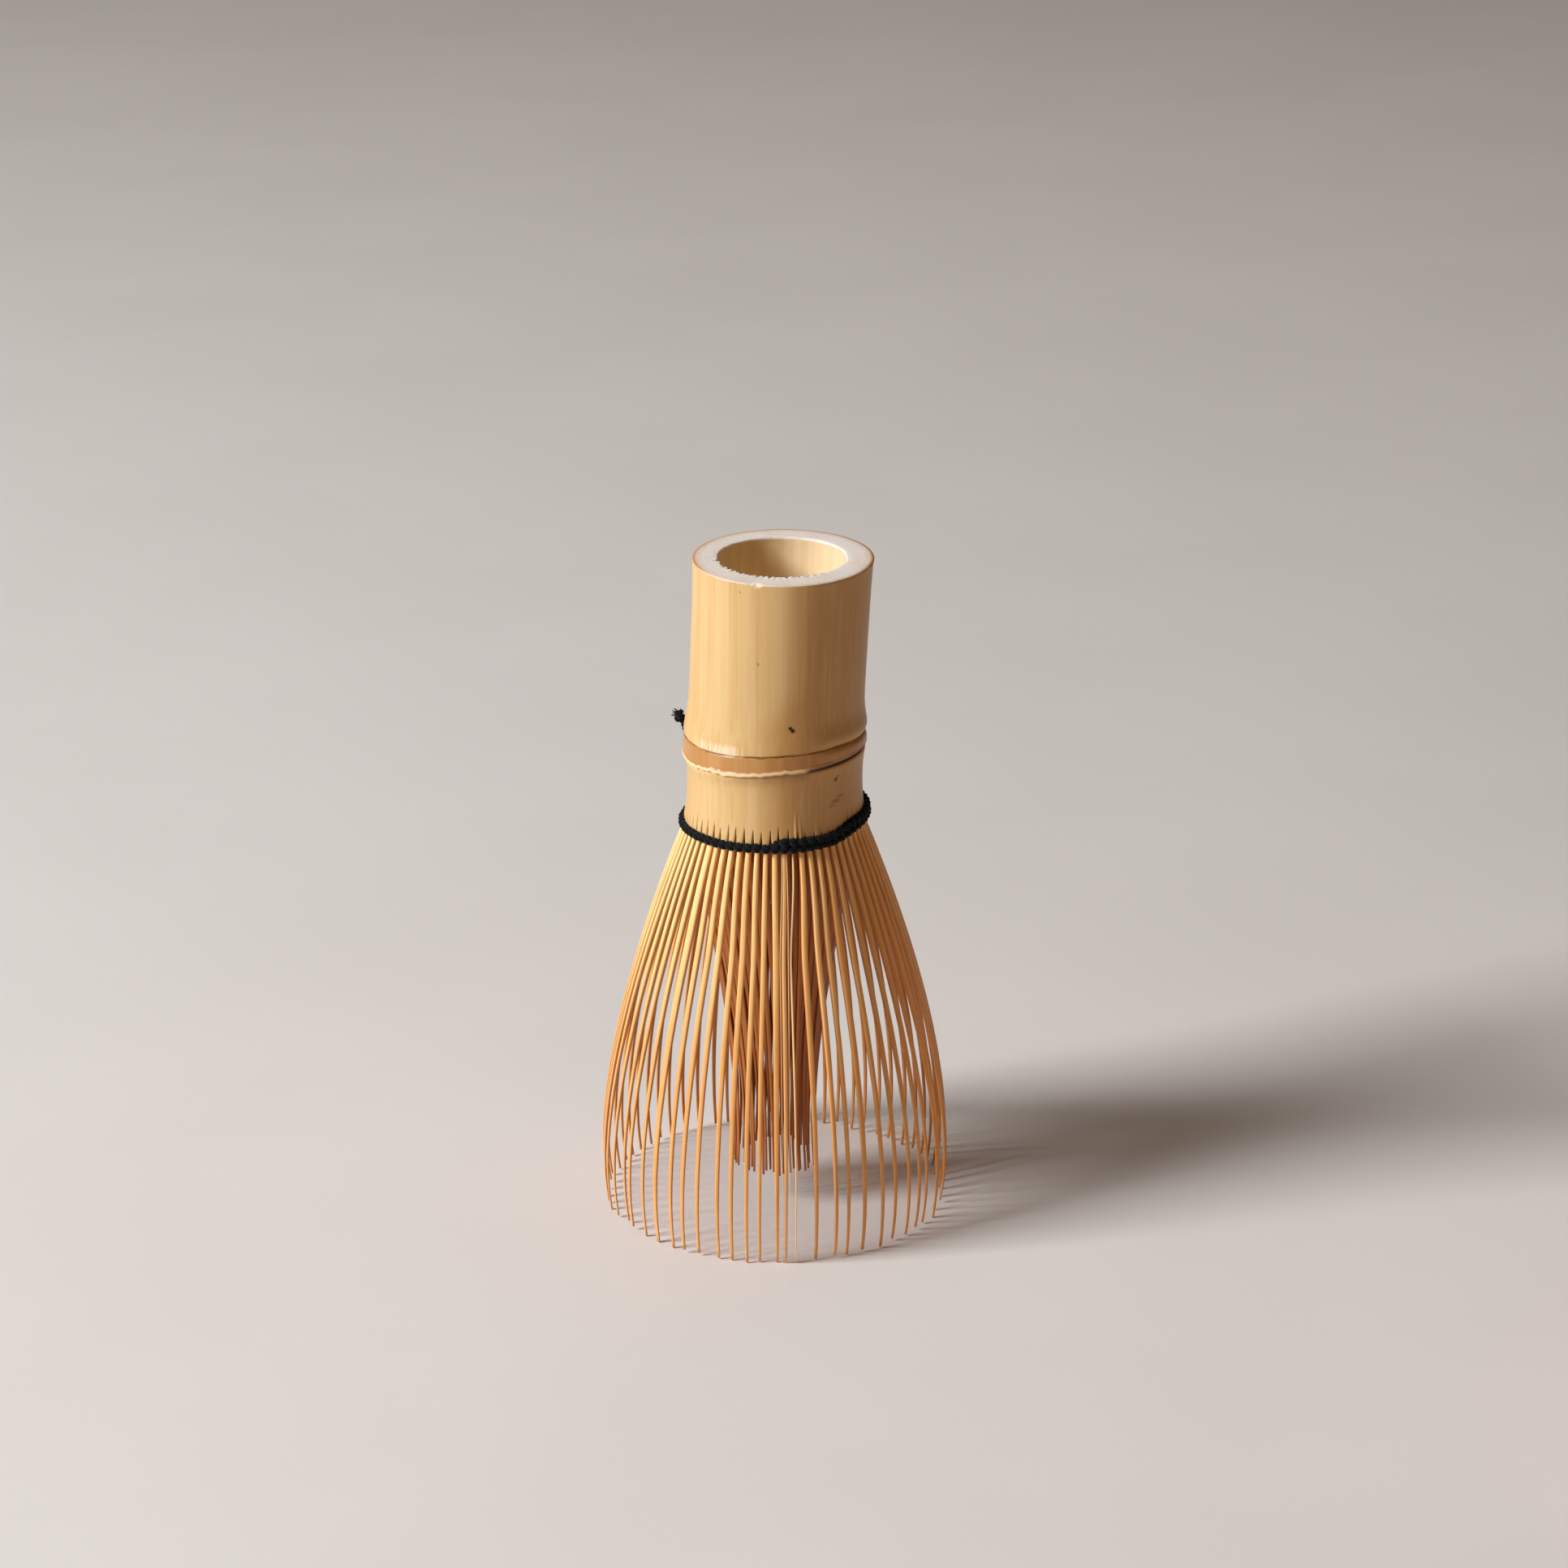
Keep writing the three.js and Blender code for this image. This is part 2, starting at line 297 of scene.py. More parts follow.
def makeLights():
    room = {"colour": (1.0, 0.62, 0.36, 1.0), "strength": 0.05}
    lamps = {
        "window": {"at": (-1.45, -0.52, 1.0), "size": 0.7, "power": 43.0, "colour": (0.965, 0.985, 1.03)},
        "overhead": {"at": (0.2, 0.9, 1.7), "size": 1.4, "power": 3.0, "colour": (1.0, 0.95, 0.9)},
        "bounce": {"at": (0.17, -0.08, 0.015), "size": 0.1, "power": 0.026, "colour": (1.0, 0.52, 0.3)},
    }
    middle = (0, 0, 0.06)
    for name, lamp in lamps.items():
        light = bpy.data.lights.new(name, "AREA")
        light.size = lamp["size"]
        light.energy = lamp["power"]
        light.color = lamp["colour"]
        holder = bpy.data.objects.new(name, light)
        holder.location = lamp["at"]
        aim(holder, middle)
        bpy.context.scene.collection.objects.link(holder)
    world = bpy.data.worlds.new("room")
    world.use_nodes = True
    backdrop = world.node_tree.nodes["Background"]
    backdrop.inputs["Color"].default_value = room["colour"]
    backdrop.inputs["Strength"].default_value = room["strength"]
    bpy.context.scene.world = world
    bpy.context.scene.view_settings.view_transform = "Standard"


def makeFloor():
    look = Look("pale_table")
    place = look.place()
    cloud = look.noise(place, (14, 14, 14), 3)
    tooth = look.noise(place, (900, 900, 900), 2)
    colour = look.mix(cloud.above(0.3, 0.7), paint(240, 234, 227), paint(243, 237, 230))
    roughness = tooth * 0.1 + 0.55
    look.finish({"Base Color": colour, "Roughness": roughness, "Normal": look.bump(tooth, 0.05, 0.3)})
    half = 9.0  # metres, so that its edge stays out of sight
    mesh = bpy.data.meshes.new("table_top")
    corners = [(-half, -half, 0), (half, -half, 0), (half, half, 0), (-half, half, 0)]
    mesh.from_pydata(corners, [], [(0, 1, 2, 3)])
    mesh.materials.append(look.material)
    floor = bpy.data.objects.new("table_top", mesh)
    bpy.context.scene.collection.objects.link(floor)


makeCamera()
makeLights()
makeFloor()
print("camera, lamps and table made")


# the culm: handle, node and the toothed skin that goes in under the thread

tineCount = 64
pitch = 2 * np.pi / tineCount
lean = math.tan(math.radians(2.6))
neckRadius = 13.4

culm = {
    # rise and radius of the skin, from the cut end down
    "outline": [
        (42, 13.84), (40.5, 13.72), (36, 13.6), (28, 13.54), (21.5, 13.5), (19.5, 13.54), (17.8, 13.72),
        (16.4, 13.98), (15.2, 14.14), (13.8, 14.14), (11.9, 14.1), (10.8, 13.9), (9.2, 13.62), (7, 13.52),
        (4, 13.62), (2.4, 13.8), (0.8, 14.02), (-1, 14.05),
    ],
    # the scar and the lip of the node: middle height, and rise at the right, at the front and twice round
    "scarLevel": 14.4,
    "scarSlant": (0.09, 0.36, 0.43),
    "lipLevel": 11.8,
    "lipSlant": (0.93, 0.23, 0.13),
    "boreRadius": 9.8,
    "boreCentre": -0.18,  # the hollow is a little off to the left
    "rimSlope": 0.3,  # the cut end dips towards the front
    "septumTop": 15.2,
    # radius, lift above the septum's top and points of each ring of its upper side
    "septumRings": [
        (0.6, -0.15, 32), (2.5, 0.1, 128), (4.8, -0.1, 128), (6.8, 0.0, 128), (8.0, 0.15, 512),
        (8.9, 0.5, 512),
    ],
    # inset from the bore and drop of each ring of its torn edge
    "tornRings": [(0.0, 0.14), (0.1, 0.03), (0.28, 0.0)],
    "cutShares": (0.25, 0.5, 0.75, 0.9),
    # radius, drop and share of the chip for each ring of the outer edge
    "edgeRings": [(13.6, 0.0, 0.25), (13.74, 0.05, 0.6), (13.8, 0.16, 0.55)],
    # radius, rise, points and roughness of each ring of the hidden inner face, from the teeth upwards
    "hiddenRings": [
        (12.5, 0.0, 512, 0.03), (12.46, 4.2, 512, 0.06), (12.0, 4.5, 512, 0.2), (11.2, 4.8, 512, 0.3),
        (10.5, 4.75, 512, 0.2), (10.3, 5.3, 512, 0.06), (10.3, 8, 512, 0.05), (10.25, 11.2, 512, 0.05),
        (9.6, 12.1, 512, 0.05), (8.4, 12.5, 512, 0.05), (6.0, 12.55, 128, 0.05), (3.0, 12.75, 128, 0.05),
        (0.6, 12.8, 32, 0.05),
    ],
    "leanFrom": 14.0,
}


def skinRadius(level):
    # the outline with its corners smoothed
    rises, radii = np.array(culm["outline"][::-1]).T
    reach = np.linspace(-0.9, 0.9, 13)
    weights = bell(reach, 0.6)
    level = np.asarray(level, float)[..., None]
    return (np.interp(level + reach, rises, radii) * weights).sum(-1) / weights.sum()


def leanAt(rise):
    # how far the culm leans to the right at a height
    return lean * np.maximum(rise - culm["leanFrom"], 0)


def slant(turn, swings):
    right, front, twice = swings
    return right * np.sin(turn) + front * np.cos(turn) + twice * np.sin(2 * turn)


def scarRise(turn):
    return culm["scarLevel"] + slant(turn, culm["scarSlant"])


def lipRise(turn):
    ragged = 0.1 * waves(turn, 11, 18, 70) + 0.12 * waves(turn, 12, 5, 13)
    ragged = ragged * soft(np.sin(turn), 0.5, 0.2) * 0.8
    hangs = 0.16 * bell(turn + 0.16, 0.09)
    return culm["lipLevel"] + slant(turn, culm["lipSlant"]) + ragged - hangs


def threadRise(turn):
    # the thread climbs at the right
    return 1.1 * soft(np.sin(turn), 0.58, 0.9)


def nodeShift(level, turn):
    # how far the slanting scar and lip lift the skin at a level, fading above and below them
    scar, lip = culm["scarLevel"], culm["lipLevel"]
    share = soft(level, lip, scar)
    shift = (1 - share) * (lipRise(turn) - lip) + share * (scarRise(turn) - scar)
    return shift * soft(level, lip - 5, lip) * (1 - soft(level, scar, scar + 6))


slit = {"top": 2.9, "depth": 0.7, "climb": 1.4}
slitDice = np.random.default_rng(5)
slitTops = slit["top"] + slitDice.uniform(-0.6, 0.8, tineCount)
slitSides = slitDice.uniform(-0.09, 0.09, tineCount)
slitHalves = slitDice.uniform(0.17, 0.25, tineCount)
raisedFibres = [
    {"turn": -6.4, "top": 6.0, "height": 0.2, "width": 0.2},
    {"turn": 13.4, "top": 6.6, "height": 0.2, "width": 0.16},
    {"turn": 16.4, "top": 5.2, "height": 0.16, "width": 0.16},
    {"turn": -27.0, "top": 5.0, "height": 0.08, "width": 0.2},
    {"turn": 27.5, "top": 5.4, "height": 0.08, "width": 0.2},
]


def carve(turn, rise):
    # how deep the skin is cut between the tines above the thread, and where it is cut
    spot = turn / pitch
    index = np.floor(spot).astype(int) % tineCount
    fromSlit = np.abs(spot - np.floor(spot) - 0.5 - slitSides[index])
    fromTine = np.abs(spot - np.round(spot))
    top = slitTops[index] + slit["climb"] * threadRise(turn)
    share = np.clip((top - rise) / (top - 0.2), 0, 1)
    half = slitHalves[index] / (pitch * neckRadius) * share**0.75 + 1e-6
    cut = np.clip(1.15 - fromSlit / half, 0, 1) * (share > 0)
    depth = slit["depth"] * share**0.6 * cut
    roundness = soft(share, 0.15, 1) * (0.55 * fromTine**2 - 0.06)
    lifted = 0
    for fibre in raisedFibres:
        aside = (turn - math.radians(fibre["turn"])) * neckRadius
        upward = soft(fibre["top"] - rise, 0, fibre["top"] - 1.5)
        lifted = lifted + fibre["height"] * upward * bell(aside, fibre["width"])
    return depth + roundness - lifted * (1 - cut), cut * soft(share, 0, 0.2)


def culmSkin(level, turn):
    # one ring of the skin, and what its finish needs: heights above the scar and the lip, and where it is cut
    rise = level + nodeShift(level, turn)
    scar, lip = culm["scarLevel"], culm["lipLevel"]
    right = soft(np.sin(turn), 0.3, 0.7) * soft(np.cos(turn), -0.9, -0.2)
    radius = skinRadius(level) + 0.045 * waves(turn, 3, 2, 4) + 0.012 * waves(turn, 4, 9, 30)
    radius = radius + 0.07 * np.sin(turn) * bell(level - 14.8, 2.5)
    # the fine groove of the scar, and the hollow above it at the right
    radius = radius - (0.2 + 0.06 * waves(turn, 6, 6, 20)) * bell(level - scar, 0.13)
    radius = radius - 0.34 * right * bell(level - scar - 0.1, 0.7)
    # the lip stands out, and is undercut most at the right
    edge = soft(level, lip - 0.34, lip - 0.2) * (1 - soft(level, lip + 0.1, lip + 0.55))
    radius = radius + (0.24 - 0.14 * right) * edge
    radius = radius - (0.12 + 0.24 * right) * bell(level - lip + 0.46 - 0.16 * right, 0.2 + 0.1 * right)
    rise = rise - culm["rimSlope"] * np.cos(turn) * soft(level, 36, rimRise)
    cut = np.zeros_like(turn)
    if level < 8:
        carved, cut = carve(turn, rise)
        radius = radius - carved
    points = around(turn, radius, rise)
    points[:, 0] += leanAt(rise)
    fromScar = rise - scarRise(turn)
    fromLip = np.full_like(turn, level - lip)
    return points, np.stack([fromScar, fromLip, cut], axis=-1)


def makeCulm(looks):
    columns = 512
    turn = np.arange(columns) * 2 * np.pi / columns
    fine = np.arange(2 * columns) * np.pi / columns
    leanTop = leanAt(rimRise)
    skinLook, cutLook, boreLook = range(3)
    centre = culm["boreCentre"]
    rings, notes, ringLooks = [], [], []

    def ring(points, look, facts=None):
        rings.append(points)
        notes.append(np.tile((20.0, 20.0, 0.0), (len(points), 1)) if facts is None else facts)
        ringLooks.append(look)

    def inside(radius, rise, count, rough, seed):
        angles = np.arange(count) * 2 * np.pi / count
        points = around(angles, radius + rough * waves(angles, seed, 3, 14), rise)
        points[:, 0] += centre + leanAt(rise)
        ring(points, boreLook)

    # the septum at the node, seen from above, then the hollow up to the cut end
    bore = culm["boreRadius"]
    for radius, lift, count in culm["septumRings"]:
        inside(radius, culm["septumTop"] + lift, count, 0.06, 22)
    for bend in np.linspace(0, math.pi / 2, 6):
        rise = culm["septumTop"] + 0.7 + 1.5 * (1 - math.cos(bend))
        inside(bore - 1.0 + math.sin(bend), rise, columns, 0.05, 23)
    for rise in steps((18, 8), (rimRise - 3, 6), (rimRise - 0.5, 2), (rimRise - 0.2, 1)):
        inside(bore, rise, columns, 0.05, 23)
    # the torn inner edge of the cut end, worst at the front
    slope = culm["rimSlope"] * np.cos(turn)
    torn = soft(np.cos(turn + 0.45), 0.1, 0.75)
    tears = np.maximum(waves(turn, 31, 20, 80), -0.4) * 0.3 * torn + 0.03 * waves(turn, 32, 8, 30)
    for inset, drop in culm["tornRings"]:
        radius = bore + inset + 0.05 * waves(turn, 23, 3, 14) + tears * (1 - inset)
        burr = 0.45 * (0.4 + np.tanh(1.6 * waves(turn, 33, 30, 80))) * torn * (0.3 - inset)
        points = around(turn, radius, rimRise - drop - slope * 0.7 + burr)
        points[:, 0] += centre + leanTop
        ring(points, cutLook)
    # across the cut end to its outer edge, with the small chip
    chip = bell(turn - math.radians(343), math.radians(2.4))
    chip = chip + 0.35 * bell(turn - math.radians(339), math.radians(1.5))
    inner, outer = bore + 0.3, 13.45
    for share in culm["cutShares"]:
        high = rimRise - slope * (0.7 + 0.3 * share) + 0.012 * waves(turn, 41, 3, 12)
        points = around(turn, inner + (outer - inner) * share, high)
        points[:, 0] += centre * (1 - share) + leanTop
        ring(points, cutLook)
    for radius, drop, chipped in culm["edgeRings"]:
        points = around(turn, radius - 0.5 * chipped * chip, rimRise - slope - drop - 0.9 * chipped * chip)
        points[:, 0] += leanTop
        ring(points, cutLook)
    # the skin: even rings to the waist, then twice as many points for the toothed part
    upper = steps((41.7, 4), (40, 12), (19.5, 12), (15.4, 20), (13.8, 7), (12.5, 16), (11.3, 12), (7.9, 1))
    for level in upper:
        points, facts = culmSkin(level, turn)
        ring(points, skinLook, facts)
    for level in steps((7.6, 6), (5.4, 20), (0.8, 4), (-0.25, 1)):
        points, facts = culmSkin(level, fine)
        points[:, 2] += threadRise(fine) * (1 - soft(level, -0.25, 1.2))
        ring(points, skinLook, facts)
    # back up inside: the skin's inner face, the broken-off wall and the underside of the septum
    for radius, rise, count, rough in culm["hiddenRings"]:
        angles = np.arange(count) * 2 * np.pi / count
        lift = threadRise(angles) * (1 - soft(rise, 0, 3)) + rough * waves(angles, 51, 20, 60) * (rise > 4)
        points = around(angles, radius + rough * waves(angles, 52, 5, 40), rise + lift)
        ring(points, boreLook)
    faces, faceLooks = stitch(rings, ringLooks[1:])
    piece = makePiece("culm", np.concatenate(rings), faces, looks, faceLooks)
    note(piece, "nodeLines", np.concatenate(notes))
    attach(piece, "handle")
    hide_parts("handle_culm")


def onSkin(turnDegrees, rise):
    # a point of the skin in the scene, for placing a mark
    turn = math.radians(turnDegrees)
    radius = float(skinRadius(rise))
    x = radius * math.sin(turn) + float(leanAt(rise))
    return (x * mm, -radius * math.cos(turn) * mm, (rise + threadHeight) * mm)


def skinFinish():
    tones = {
        "straw": paint(218, 182, 125), "gold": paint(212, 170, 108), "greenish": paint(208, 167, 101),
        "paintedShadeAmber": paint(192, 138, 72), "pale": paint(230, 194, 138), "band": paint(179, 116, 48),
        "cream": paint(240, 208, 160), "scar": paint(120, 66, 26), "sootAndShadow": paint(46, 26, 14),
        "patch": paint(248, 220, 188), "slit": paint(138, 80, 30),
    }
    # small stains and nicks: degrees round, rise, and how far each spreads across, through and along
    marks = [
        {"turn": 10.6, "rise": 18.75, "size": (0.5, 0.9, 0.5), "colour": "sootAndShadow", "amount": 1.0},
        {"turn": 9.0, "rise": 19.15, "size": (0.45, 0.9, 0.42), "colour": "sootAndShadow", "amount": 1.0},
        {"turn": 42.4, "rise": 9.8, "size": (0.55, 0.7, 0.55), "colour": "scar", "amount": 1.0},
        {"turn": 44.0, "rise": 10.3, "size": (0.4, 0.6, 0.35), "colour": "scar", "amount": 0.6},
        {"turn": 43.0, "rise": 6.3, "size": (1.3, 1.2, 0.5), "colour": "scar", "amount": 0.55},
        {"turn": 47.0, "rise": 6.9, "size": (1.1, 1.2, 0.4), "colour": "scar", "amount": 0.5},
        {"turn": 39.5, "rise": 5.7, "size": (0.8, 1.0, 0.35), "colour": "scar", "amount": 0.45},
        {"turn": -27.5, "rise": 40.2, "size": (0.2, 0.5, 0.14), "colour": "scar", "amount": 0.8},
        {"turn": -13.5, "rise": 29.2, "size": (0.3, 0.6, 0.4), "colour": "scar", "amount": 0.45},
        {"turn": -17.0, "rise": 41.4, "size": (0.7, 1.0, 0.34), "colour": "cream", "amount": 0.5},
        {"turn": 121.0, "rise": 27.0, "size": (0.4, 0.4, 0.35), "colour": "scar", "amount": 0.6},
        {"turn": -140.0, "rise": 34.0, "size": (0.3, 0.3, 0.5), "colour": "scar", "amount": 0.5},
        {"turn": 170.0, "rise": 22.0, "size": (0.25, 0.3, 0.25), "colour": "sootAndShadow", "amount": 0.7},
    ]
    look = Look("bamboo_skin")
    place = look.place()
    fromScar, fromLip, cut = look.split(look.noted("nodeLines"))
    x, y, z = look.split(place)
    fine = look.noise(place, (1900, 1900, 26), 3, 0.6)
    streak = look.noise(place, (620, 620, 11), 3, 0.55)
    broad = look.noise(place, (120, 120, 16), 2)
    speckle = look.noise(place, (2400, 2400, 900), 2)
    colour = look.mix(streak.above(0.34, 0.68), tones["straw"], tones["gold"])
    colour = look.mix(broad.above(0.42, 0.68) * 0.3, colour, tones["greenish"])
    # painted shade: the skin is browner on the side away from the window, and further round at the node
    low = z.above(0.09, 0.081)
    colour = look.mix((x + low * 0.0042).above(0.0, 0.0062) * 0.85, colour, tones["paintedShadeAmber"])
    colour = look.mix(fine.above(0.5, 0.72) * 0.22, colour, tones["pale"])
    colour = look.mix(fine.above(0.44, 0.3) * 0.12, colour, tones["scar"])
    colour = look.mix(speckle.above(0.7, 0.8) * 0.15, colour, tones["scar"])
    # above the scar a pale patch with streaks, at the front left
    paleAboveScar = fromScar.above(0.0, 0.15) * fromScar.above(2.0, 0.9)
    paleAboveScar = paleAboveScar * x.above(-0.0042, -0.0062) * x.above(-0.0125, -0.0105) * y.above(0.004, -0.004)
    colour = look.mix(paleAboveScar * fine.above(0.35, 0.6) * 0.75, colour, tones["patch"])
    # the smooth band between the scar and the lip
    band = fromScar.above(0.02, -0.12) * fromLip.above(0.1, 0.4)
    bandTone = look.mix(streak.above(0.3, 0.7) * 0.35, tones["band"], tones["gold"])
    colour = look.mix(band * 0.9, colour, bandTone)
    # the scar itself, a dark broken line
    wander = (look.noise(place, (1100, 1100, 300), 3) - 0.5) * 0.5
    line = abs(fromScar + wander).above(0.24, 0.04) * look.noise(place, (300, 300, 50), 2).above(0.3, 0.5)
    colour = look.mix(line * x.above(0.0065, 0.003) * 0.8, colour, tones["scar"])
    # the lip: cream on the left and front, and painted shadow under it on the right, in the soot tone
    right = x.above(0.0042, 0.0056)
    lip = fromLip.above(-0.46, -0.3) * fromLip.above(0.34, 0.2)
    colour = look.mix(lip * (1 - right) * 0.95, colour, tones["cream"])
    shadowUnderLip = abs(fromLip + 0.28).above(0.46, 0.2)
    colour = look.mix(shadowUnderLip * right * 0.9, colour, tones["sootAndShadow"])
    # painted shade: the skin just under the lip is darkened with the scar tone, at the left and front
    under = fromLip.above(-2.6, -0.5) * fromLip.above(0.0, -0.35) * x.above(-0.011, -0.005)
    colour = look.mix(under * (1 - right) * 0.32, colour, tones["scar"])
    # the flesh bared in the slits, its tone darkened further as painted shade in the grooves
    colour = look.mix(cut * 0.75, colour, tones["slit"])
    for mark in marks:
        spot = look.near(place, onSkin(mark["turn"], mark["rise"]), mark["size"])
        colour = look.mix(spot * mark["amount"], colour, tones[mark["colour"]])
    roughness = fine * 0.22 + band * -0.1 + lip * 0.3 + 0.32
    height = fine * 0.6 + streak * 0.4
    return look.finish({
        "Base Color": colour, "Roughness": roughness, "Normal": look.bump(height, 0.05, 0.5),
        "Specular IOR Level": 0.42, "Subsurface Weight": 0.06, "Subsurface Radius": (0.9, 0.5, 0.25),
        "Subsurface Scale": 0.001,
    })


def cutFinish():
    tones = {
        "cream": paint(251, 238, 224), "beige": paint(244, 228, 210), "fibre": paint(214, 180, 142),
        "skin": paint(204, 138, 76),
    }
    look = Look("bamboo_cut_end")
    place = look.place()
    centre = (leanAt(rimRise) * mm, 0.0, 0.0)
    radius = look.distance(place, centre, (1 / mm, 1 / mm, 0))
    saw = look.noise(place, (160, 900, 300), 2)
    cloud = look.noise(place, (260, 260, 260), 2)
    bundles = look.dots(place, (2300, 2300, 900)).above(0.42, 0.2)
    sparse = look.dots(place, (1300, 1300, 500)).above(0.36, 0.16)
    colour = look.mix(cloud.above(0.35, 0.7), tones["cream"], tones["beige"])
    outer = radius.above(11.6, 13.3)
    dots = bundles * outer + sparse * (1 - outer)
    colour = look.mix(dots * (outer * 0.25 + 0.15), colour, tones["fibre"])
    side = look.split(place)[1].above(-0.0115, -0.002) * 0.75 + 0.2
    colour = look.mix(radius.above(12.0, 13.5) * 0.45 * side, colour, tones["fibre"])
    colour = look.mix(radius.above(13.15, 13.6) * side, colour, tones["skin"])
    height = saw * 0.5 - dots * 0.5
    return look.finish({
        "Base Color": colour, "Roughness": cloud * 0.2 + 0.62, "Normal": look.bump(height, 0.06, 0.5),
        "Specular IOR Level": 0.3, "Subsurface Weight": 0.15, "Subsurface Radius": (1.0, 0.7, 0.45),
        "Subsurface Scale": 0.001,
    })


def boreFinish():
    tones = {"cream": paint(245, 218, 174), "tan": paint(238, 204, 152), "brown": paint(186, 132, 76)}
    look = Look("bamboo_hollow")
    place = look.place()
    streak = look.noise(place, (900, 900, 40), 3, 0.6)
    blotch = look.noise(place, (160, 160, 90), 3)
    film = look.noise(place, (2200, 2200, 500), 2)
    colour = look.mix(streak.above(0.35, 0.7) * 0.7, tones["cream"], tones["tan"])
    colour = look.mix(blotch.above(0.5, 0.75) * 0.25, colour, tones["brown"])
    colour = look.mix(film.above(0.62, 0.8) * 0.15, colour, tones["brown"])
    return look.finish({
        "Base Color": colour, "Roughness": streak * 0.2 + 0.62, "Normal": look.bump(streak, 0.08, 0.5),
        "Specular IOR Level": 0.25,
    })


makeCulm([skinFinish(), cutFinish(), boreFinish()])
print("culm made")


# tines

outerTine = {
    "face": 14.05, "flare": 21.5, "reach": 25.4, "drop": 63.5, "tipRadius": 26.6, "belly": 2.6,
    "widths": [(1, 0.78), (-1, 0.78), (-12, 0.9), (-30, 0.84), (-50, 0.62), (-63.5, 0.42)],
    "thickness": [(1, 0.9), (-1, 0.9), (-15, 0.74), (-40, 0.48), (-63.5, 0.26)],
    "section": [(-0.5, 0.3), (-0.42, 0.11), (-0.25, 0.025), (0, 0), (0.25, 0.025), (0.42, 0.11), (0.5, 0.3),
                (0.5, 0.82), (0.38, 1), (-0.38, 1), (-0.5, 0.82)],
}
innerTine = {
    "face": 12.1, "drop": 58, "tipRadius": 6.6, "swirl": 14,
    "widths": [(1, 1.12), (-14, 1.0), (-35, 0.58), (-58, 0.32)],
    "thickness": [(1, 0.55), (-20, 0.45), (-58, 0.22)],
    "section": [(-0.5, 0.25), (-0.3, 0.03), (0.3, 0.03), (0.5, 0.25), (0.5, 0.85), (0, 1), (-0.5, 0.85)],
}
# tines unlike the rest, counted to the right from the front one: wider or narrower, leaning, or split
oddTines = {
    -9: {"lean": 0.6},
    -8: {"lean": 1.2, "width": 1.4},
    -7: {"lean": 2.3, "width": 1.05},
    -6: {"lean": 2.6},
    -5: {"lean": 1.9, "width": 1.05},
    -4: {"lean": 3.0},
    -3: {"lean": 2.2, "width": 1.05},
    -2: {"lean": 1.8},
    -1: {"lean": 0.6, "width": 0.9},
    0: {"lean": 0.5, "width": 1.05},
    1: {"lean": -1.7, "width": 0.8, "pale": 0.1},
    2: {"lean": -4.1, "width": 0.36, "pale": 0.6},
    3: {"lean": -3.2},
    4: {"lean": -2.4},
    5: {"lean": -2.9},
    6: {"lean": -2.4, "width": 1.15},
    7: {"lean": -1.8, "width": 1.05},
    8: {"lean": -0.9},
}


def bezier(points, count):
    t = np.linspace(0, 1, count)[:, None] ** 1.15
    a, b, c, d = np.asarray(points, float)
    return a * (1 - t) ** 3 + 3 * b * t * (1 - t) ** 2 + 3 * c * t**2 * (1 - t) + d * t**3


def outerPath(turn, shorter):
    start = (outerTine["face"] + 0.17, -0.9)
    slope = math.tan(math.radians(outerTine["flare"]))
    bend = bezier([
        start,
        (start[0] + outerTine["reach"] * slope, start[1] - outerTine["reach"]),
        (outerTine["tipRadius"] + outerTine["belly"], -outerTine["drop"] * 0.78),
        (outerTine["tipRadius"], shorter - outerTine["drop"]),
    ], 36)
    lift = float(threadRise(turn))
    top = [(outerTine["face"] - 0.06, lift + 0.3), (outerTine["face"], 0.4 * lift - 0.25)]
    return np.concatenate([top, bend])


def innerPath(shorter):
    face, drop = innerTine["face"], innerTine["drop"]
    bend = bezier([
        (face, -0.9),
        (face - 0.7, -0.3 * drop),
        (innerTine["tipRadius"] - 1.2, -0.6 * drop),
        (innerTine["tipRadius"], shorter - drop),
    ], 24)
    return np.concatenate([[(face + 0.35, 0.4)], bend])


def sizeAt(table, rise):
    # a size given at several heights, read off at others
    rises, sizes = np.array(table).T
    return np.interp(-rise, -rises, sizes)


def tineBar(path, turns, kind, widthFactor, sideShift=0.0, thin=1.0):
    # a bar whose outer face follows the path, with its grain (across, through, along) and its fleshiness
    rise = path[:, 1]
    ahead = np.gradient(path, axis=0)
    ahead /= np.linalg.norm(ahead, axis=1, keepdims=True)
    inward = np.stack([ahead[:, 1], -ahead[:, 0]], axis=1)
    across, through = np.array(kind["section"]).T
    widths = sizeAt(kind["widths"], rise) * widthFactor
    thick = sizeAt(kind["thickness"], rise) * thin
    depth = thick[:, None] * through
    radius = path[:, :1] + inward[:, :1] * depth
    height = rise[:, None] + inward[:, 1:] * depth
    sideways = widths[:, None] * across + sideShift
    turn = turns[:, None]
    points = np.stack([
        radius * np.sin(turn) + sideways * np.cos(turn),
        -radius * np.cos(turn) + sideways * np.sin(turn),
        height,
    ], axis=-1)
    grain = np.stack([sideways, depth, np.broadcast_to(-rise[:, None], depth.shape)], axis=-1)
    flesh = np.broadcast_to(soft(through, 0.12, 0.5), depth.shape)
    return points.reshape(-1, 3), grain.reshape(-1, 3), flesh.ravel()


